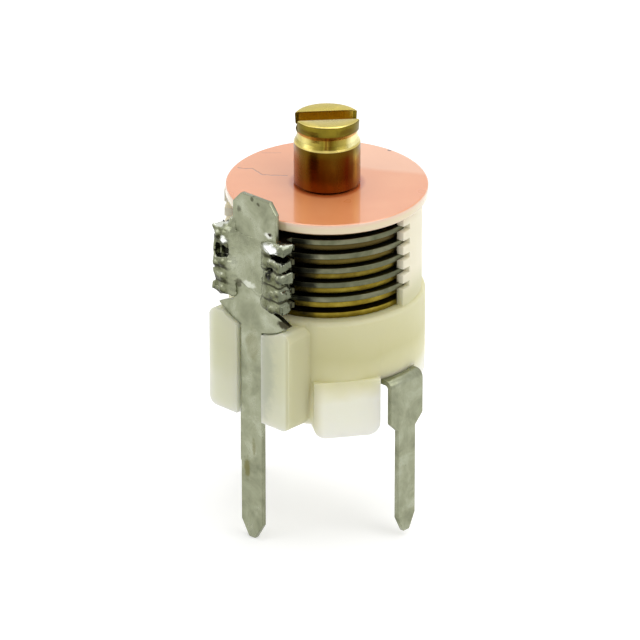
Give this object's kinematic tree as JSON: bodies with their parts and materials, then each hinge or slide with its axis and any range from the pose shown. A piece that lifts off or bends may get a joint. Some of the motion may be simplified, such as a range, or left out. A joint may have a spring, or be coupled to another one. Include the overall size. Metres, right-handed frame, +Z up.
{
  "type": "trimmer capacitor",
  "caption": "Rotary air trimmer capacitor with interleaved metal plates in a translucent moulded frame, slotted brass spindle and flat solder pins.",
  "frame": {"origin": "on the spindle's axis in the plane of the board, level with the feet's undersides", "axes": "+Z up along the spindle's axis, -Y towards the stator pin, X through the two rotor pins"},
  "size_m": [0.0104, 0.0104, 0.0202],
  "materials": {
    "frame_plastic": "milky translucent moulding, satin",
    "disc_plastic": "glossy pink-orange disc with a paler rim",
    "turned_brass": "turned, a little tarnished",
    "sheet_brass": "thin sheet, dull with age",
    "tinned_metal": "dull tin plating",
    "solder": "bright, smooth fillets",
    "spring_steel": "plain spring steel"
  },
  "bodies": {
    "frame": {"frame": "frame_plastic", "cover_disc": "disc_plastic", "stator_plate_1": "tinned_metal", "stator_plate_2": "tinned_metal", "stator_plate_3": "tinned_metal", "stator_plate_4": "tinned_metal", "stator_plate_5": "tinned_metal", "stator_post": "tinned_metal", "solder_joint": "solder", "rotor_terminal": "tinned_metal", "thrust_plate": "sheet_brass"},
    "rotor": {"spindle": "turned_brass", "rotor_plate_1": "sheet_brass", "rotor_plate_2": "sheet_brass", "rotor_plate_3": "sheet_brass", "rotor_plate_4": "sheet_brass", "rotor_plate_5": "sheet_brass", "rotor_plate_6": "sheet_brass", "rotor_spacer_1": "turned_brass", "rotor_spacer_2": "turned_brass", "rotor_spacer_3": "turned_brass", "rotor_spacer_4": "turned_brass", "rotor_spacer_5": "turned_brass", "rotor_collar": "turned_brass", "spring_washer": "spring_steel", "retaining_clip": "spring_steel"}
  },
  "joints": [
    {"name": "rotor_turn", "type": "hinge", "parent": "frame", "child": "rotor", "pos_m": [0, 0, 0], "axis": [0, 0, 1], "continuous": true}
  ]
}
